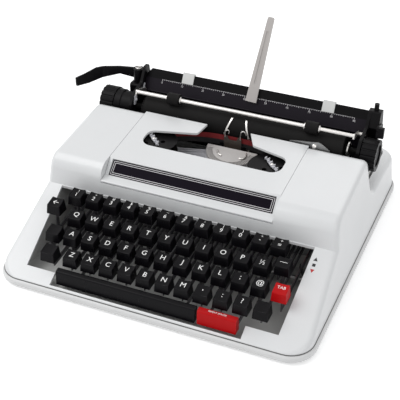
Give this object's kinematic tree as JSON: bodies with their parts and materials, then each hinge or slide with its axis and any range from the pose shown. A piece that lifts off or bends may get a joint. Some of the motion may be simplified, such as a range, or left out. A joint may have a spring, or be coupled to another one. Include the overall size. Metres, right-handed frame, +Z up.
{
  "type": "manual typewriter",
  "caption": "Portable manual typewriter with a sloping keyboard, open type basket, sliding carriage with platen and knobs, paper table and return lever.",
  "frame": {"origin": "centre of the plane under the four feet, below the middle of the case", "axes": "+X to the typist's right, +Y from the keyboard to the back, +Z up"},
  "size_m": [0.3438, 0.324, 0.1845],
  "materials": {
    "shell_paint": "smooth cool off-white enamel",
    "rubber": "matte",
    "steel": "zinc-plated, dull grey",
    "bright_steel": "bright, satin",
    "ribbon_cloth": "inked, black over red",
    "dark_steel": "satin black",
    "black_plastic": "satin black",
    "band_black": "gloss black with a fine silver border",
    "platen_rubber": "smooth matte",
    "key_black": "satin, white legends",
    "key_red": "satin, white legends"
  },
  "bodies": {
    "frame": {"base_pan": "shell_paint", "rubber_feet": "rubber", "upper_shell": "shell_paint", "inner_frame": "steel", "pivot_shafts": "steel", "carriage_rail": "steel", "card_holder": "bright_steel", "ribbon": "ribbon_cloth"},
    "basket": {"type_segment": "bright_steel", "typebars": "bright_steel"},
    "vibrator": {"ribbon_vibrator": "dark_steel"},
    "spool_left": {"ribbon_spool_left": "black_plastic"},
    "spool_right": {"ribbon_spool_right": "black_plastic"},
    "cover": {"ribbon_cover": "shell_paint", "name_band": "band_black"},
    "carriage": {"carriage_frame": "dark_steel", "end_covers": "black_plastic", "paper_table": "dark_steel"},
    "platen": {"platen": "platen_rubber", "platen_knobs": "black_plastic"},
    "bail": {"paper_bail": "bright_steel"},
    "rollers": {"bail_rollers": "platen_rubber"},
    "support_arm": {"paper_support_arm": "bright_steel"},
    "stop_left": {"margin_stop_left": "bright_steel"},
    "stop_right": {"margin_stop_right": "bright_steel"},
    "return_lever": {"return_lever": "dark_steel"},
    "release_lever": {"paper_release_lever": "black_plastic"},
    "drum": {"mainspring_drum": "dark_steel"},
    "space_bar": {"space_bar": "key_black"},
    "repeat_spacer": {"repeat_spacer": "key_red"},
    "tab": {"tab_key": "key_red"},
    "backspace": {"backspace_key": "key_black"},
    "margin_release": {"margin_release_key": "key_black"},
    "shift": {"shift_keys": "key_black"},
    "shift_lock": {"shift_lock": "key_black"},
    "selector": {"colour_selector": "dark_steel"},
    "number_row": {"number_row_keys": "key_black"},
    "bottom_row": {"bottom_row_keys": "key_black"},
    "key_q": {"key_q": "key_black"},
    "key_w": {"key_w": "key_black"},
    "key_e": {"key_e": "key_black"},
    "key_r": {"key_r": "key_black"},
    "key_t": {"key_t": "key_black"},
    "key_y": {"key_y": "key_black"},
    "key_u": {"key_u": "key_black"},
    "key_i": {"key_i": "key_black"},
    "key_o": {"key_o": "key_black"},
    "key_p": {"key_p": "key_black"},
    "key_half": {"key_half": "key_black"},
    "key_a": {"key_a": "key_black"},
    "key_s": {"key_s": "key_black"},
    "key_d": {"key_d": "key_black"},
    "key_f": {"key_f": "key_black"},
    "key_g": {"key_g": "key_black"},
    "key_h": {"key_h": "key_black"},
    "key_j": {"key_j": "key_black"},
    "key_k": {"key_k": "key_black"},
    "key_l": {"key_l": "key_black"},
    "key_semicolon": {"key_semicolon": "key_black"},
    "key_at": {"key_at": "key_black"}
  },
  "joints": [
    {"name": "cover_open", "type": "hinge", "parent": "frame", "child": "cover", "pos_m": [0, -0.0596, 0.0712], "axis": [1, 0, 0], "range_deg": [0, 75]},
    {"name": "carriage_travel", "type": "slide", "parent": "frame", "child": "carriage", "axis": [1, 0, 0], "range_m": [-0.105, 0.105]},
    {"name": "drum_turn", "type": "hinge", "parent": "frame", "child": "drum", "pos_m": [-0.105, 0.124, 0.01], "axis": [0, 0, 1], "range_deg": [-290, 290]},
    {"name": "platen_turn", "type": "hinge", "parent": "carriage", "child": "platen", "pos_m": [0, 0.065, 0.087], "axis": [1, 0, 0], "continuous": true},
    {"name": "bail_lift", "type": "hinge", "parent": "carriage", "child": "bail", "pos_m": [0, 0.076, 0.101], "axis": [-1, 0, 0], "range_deg": [0, 60]},
    {"name": "roller_turn", "type": "hinge", "parent": "bail", "child": "rollers", "pos_m": [0, 0.0565, 0.1089], "axis": [1, 0, 0], "continuous": true},
    {"name": "arm_swing", "type": "hinge", "parent": "carriage", "child": "support_arm", "pos_m": [0.01, 0.0905, 0.11091], "axis": [0, -0.866, 0.5], "range_deg": [0, 87]},
    {"name": "left_stop_set", "type": "slide", "parent": "carriage", "child": "stop_left", "axis": [1, 0, 0], "range_m": [-0.04, 0.05]},
    {"name": "right_stop_set", "type": "slide", "parent": "carriage", "child": "stop_right", "axis": [1, 0, 0], "range_m": [-0.05, 0.035]},
    {"name": "return_swing", "type": "hinge", "parent": "carriage", "child": "return_lever", "pos_m": [-0.1215, 0.09, 0.1033], "axis": [0, 0, 1], "range_deg": [0, 25], "stiffness_Nm_per_rad": 0.3, "springref_deg": -5.73},
    {"name": "paper_release", "type": "hinge", "parent": "carriage", "child": "release_lever", "pos_m": [0.1466, 0.09, 0.104], "axis": [-1, 0, 0], "range_deg": [0, 20]},
    {"name": "shift_press", "type": "hinge", "parent": "frame", "child": "shift", "pos_m": [0, 0.03, 0.036], "axis": [1, 0, 0], "range_deg": [0, 3.74], "stiffness_Nm_per_rad": 1.5, "springref_deg": -11.46},
    {"name": "basket_shift", "type": "slide", "parent": "frame", "child": "basket", "axis": [0, 0, -1], "range_m": [0, 0.006]},
    {"name": "vibrator_lift", "type": "slide", "parent": "frame", "child": "vibrator", "axis": [0, 0, 1], "range_m": [0, 0.008], "stiffness_N_per_m": 30, "springref_m": -0.003},
    {"name": "spool_left_turn", "type": "hinge", "parent": "frame", "child": "spool_left", "pos_m": [-0.0655, 0.008, 0.073], "axis": [0, 0, 1], "continuous": true},
    {"name": "spool_right_turn", "type": "hinge", "parent": "frame", "child": "spool_right", "pos_m": [0.0615, 0.008, 0.073], "axis": [0, 0, 1], "continuous": true},
    {"name": "space_bar_press", "type": "hinge", "parent": "frame", "child": "space_bar", "pos_m": [0, -0.06, 0.0135], "axis": [1, 0, 0], "range_deg": [0, 3.1], "stiffness_Nm_per_rad": 0.4, "springref_deg": -11.46},
    {"name": "repeat_spacer_press", "type": "hinge", "parent": "frame", "child": "repeat_spacer", "pos_m": [0, -0.06, 0.0135], "axis": [1, 0, 0], "range_deg": [0, 3.1], "stiffness_Nm_per_rad": 0.4, "springref_deg": -11.46},
    {"name": "colour_select", "type": "hinge", "parent": "frame", "child": "selector", "pos_m": [0.1247, -0.07, 0.012], "axis": [1, 0, 0], "range_deg": [-14, 0]},
    {"name": "number_row_press", "type": "hinge", "parent": "frame", "child": "number_row", "pos_m": [0, 0.03, 0.036], "axis": [1, 0, 0], "range_deg": [0, 5.69], "stiffness_Nm_per_rad": 3, "springref_deg": -11.46},
    {"name": "bottom_row_press", "type": "hinge", "parent": "frame", "child": "bottom_row", "pos_m": [0, 0.03, 0.036], "axis": [1, 0, 0], "range_deg": [0, 3.74], "stiffness_Nm_per_rad": 3, "springref_deg": -11.46},
    {"name": "tab_press", "type": "hinge", "parent": "frame", "child": "tab", "pos_m": [0, 0.03, 0.036], "axis": [1, 0, 0], "range_deg": [0, 4.22], "stiffness_Nm_per_rad": 0.3, "springref_deg": -11.46},
    {"name": "backspace_press", "type": "hinge", "parent": "frame", "child": "backspace", "pos_m": [0, 0.03, 0.036], "axis": [1, 0, 0], "range_deg": [0, 5.07], "stiffness_Nm_per_rad": 0.3, "springref_deg": -11.46},
    {"name": "margin_release_press", "type": "hinge", "parent": "frame", "child": "margin_release", "pos_m": [0, 0.03, 0.036], "axis": [1, 0, 0], "range_deg": [0, 4.98], "stiffness_Nm_per_rad": 0.3, "springref_deg": -11.46},
    {"name": "shift_lock_press", "type": "hinge", "parent": "frame", "child": "shift_lock", "pos_m": [0, 0.03, 0.036], "axis": [1, 0, 0], "range_deg": [0, 4.22], "stiffness_Nm_per_rad": 0.3, "springref_deg": -11.46},
    {"name": "key_q_press", "type": "hinge", "parent": "frame", "child": "key_q", "pos_m": [0, 0.03, 0.036], "axis": [1, 0, 0], "range_deg": [0, 4.8], "stiffness_Nm_per_rad": 0.3, "springref_deg": -11.46},
    {"name": "key_w_press", "type": "hinge", "parent": "frame", "child": "key_w", "pos_m": [0, 0.03, 0.036], "axis": [1, 0, 0], "range_deg": [0, 4.8], "stiffness_Nm_per_rad": 0.3, "springref_deg": -11.46},
    {"name": "key_e_press", "type": "hinge", "parent": "frame", "child": "key_e", "pos_m": [0, 0.03, 0.036], "axis": [1, 0, 0], "range_deg": [0, 4.8], "stiffness_Nm_per_rad": 0.3, "springref_deg": -11.46},
    {"name": "key_r_press", "type": "hinge", "parent": "frame", "child": "key_r", "pos_m": [0, 0.03, 0.036], "axis": [1, 0, 0], "range_deg": [0, 4.8], "stiffness_Nm_per_rad": 0.3, "springref_deg": -11.46},
    {"name": "key_t_press", "type": "hinge", "parent": "frame", "child": "key_t", "pos_m": [0, 0.03, 0.036], "axis": [1, 0, 0], "range_deg": [0, 4.8], "stiffness_Nm_per_rad": 0.3, "springref_deg": -11.46},
    {"name": "key_y_press", "type": "hinge", "parent": "frame", "child": "key_y", "pos_m": [0, 0.03, 0.036], "axis": [1, 0, 0], "range_deg": [0, 4.8], "stiffness_Nm_per_rad": 0.3, "springref_deg": -11.46},
    {"name": "key_u_press", "type": "hinge", "parent": "frame", "child": "key_u", "pos_m": [0, 0.03, 0.036], "axis": [1, 0, 0], "range_deg": [0, 4.8], "stiffness_Nm_per_rad": 0.3, "springref_deg": -11.46},
    {"name": "key_i_press", "type": "hinge", "parent": "frame", "child": "key_i", "pos_m": [0, 0.03, 0.036], "axis": [1, 0, 0], "range_deg": [0, 4.8], "stiffness_Nm_per_rad": 0.3, "springref_deg": -11.46},
    {"name": "key_o_press", "type": "hinge", "parent": "frame", "child": "key_o", "pos_m": [0, 0.03, 0.036], "axis": [1, 0, 0], "range_deg": [0, 4.8], "stiffness_Nm_per_rad": 0.3, "springref_deg": -11.46},
    {"name": "key_p_press", "type": "hinge", "parent": "frame", "child": "key_p", "pos_m": [0, 0.03, 0.036], "axis": [1, 0, 0], "range_deg": [0, 4.8], "stiffness_Nm_per_rad": 0.3, "springref_deg": -11.46},
    {"name": "key_half_press", "type": "hinge", "parent": "frame", "child": "key_half", "pos_m": [0, 0.03, 0.036], "axis": [1, 0, 0], "range_deg": [0, 4.8], "stiffness_Nm_per_rad": 0.3, "springref_deg": -11.46},
    {"name": "key_a_press", "type": "hinge", "parent": "frame", "child": "key_a", "pos_m": [0, 0.03, 0.036], "axis": [1, 0, 0], "range_deg": [0, 4.22], "stiffness_Nm_per_rad": 0.3, "springref_deg": -11.46},
    {"name": "key_s_press", "type": "hinge", "parent": "frame", "child": "key_s", "pos_m": [0, 0.03, 0.036], "axis": [1, 0, 0], "range_deg": [0, 4.22], "stiffness_Nm_per_rad": 0.3, "springref_deg": -11.46},
    {"name": "key_d_press", "type": "hinge", "parent": "frame", "child": "key_d", "pos_m": [0, 0.03, 0.036], "axis": [1, 0, 0], "range_deg": [0, 4.22], "stiffness_Nm_per_rad": 0.3, "springref_deg": -11.46},
    {"name": "key_f_press", "type": "hinge", "parent": "frame", "child": "key_f", "pos_m": [0, 0.03, 0.036], "axis": [1, 0, 0], "range_deg": [0, 4.22], "stiffness_Nm_per_rad": 0.3, "springref_deg": -11.46},
    {"name": "key_g_press", "type": "hinge", "parent": "frame", "child": "key_g", "pos_m": [0, 0.03, 0.036], "axis": [1, 0, 0], "range_deg": [0, 4.22], "stiffness_Nm_per_rad": 0.3, "springref_deg": -11.46},
    {"name": "key_h_press", "type": "hinge", "parent": "frame", "child": "key_h", "pos_m": [0, 0.03, 0.036], "axis": [1, 0, 0], "range_deg": [0, 4.22], "stiffness_Nm_per_rad": 0.3, "springref_deg": -11.46},
    {"name": "key_j_press", "type": "hinge", "parent": "frame", "child": "key_j", "pos_m": [0, 0.03, 0.036], "axis": [1, 0, 0], "range_deg": [0, 4.22], "stiffness_Nm_per_rad": 0.3, "springref_deg": -11.46},
    {"name": "key_k_press", "type": "hinge", "parent": "frame", "child": "key_k", "pos_m": [0, 0.03, 0.036], "axis": [1, 0, 0], "range_deg": [0, 4.22], "stiffness_Nm_per_rad": 0.3, "springref_deg": -11.46},
    {"name": "key_l_press", "type": "hinge", "parent": "frame", "child": "key_l", "pos_m": [0, 0.03, 0.036], "axis": [1, 0, 0], "range_deg": [0, 4.22], "stiffness_Nm_per_rad": 0.3, "springref_deg": -11.46},
    {"name": "key_semicolon_press", "type": "hinge", "parent": "frame", "child": "key_semicolon", "pos_m": [0, 0.03, 0.036], "axis": [1, 0, 0], "range_deg": [0, 4.22], "stiffness_Nm_per_rad": 0.3, "springref_deg": -11.46},
    {"name": "key_at_press", "type": "hinge", "parent": "frame", "child": "key_at", "pos_m": [0, 0.03, 0.036], "axis": [1, 0, 0], "range_deg": [0, 4.22], "stiffness_Nm_per_rad": 0.3, "springref_deg": -11.46}
  ],
  "couplings": [
    {"joint": "basket_shift", "follows": "shift_press", "m_per_rad": 0.09},
    {"joint": "spool_right_turn", "follows": "spool_left_turn", "ratio": 1},
    {"joint": "drum_turn", "follows": "carriage_travel", "rad_per_m": 47.6}
  ]
}
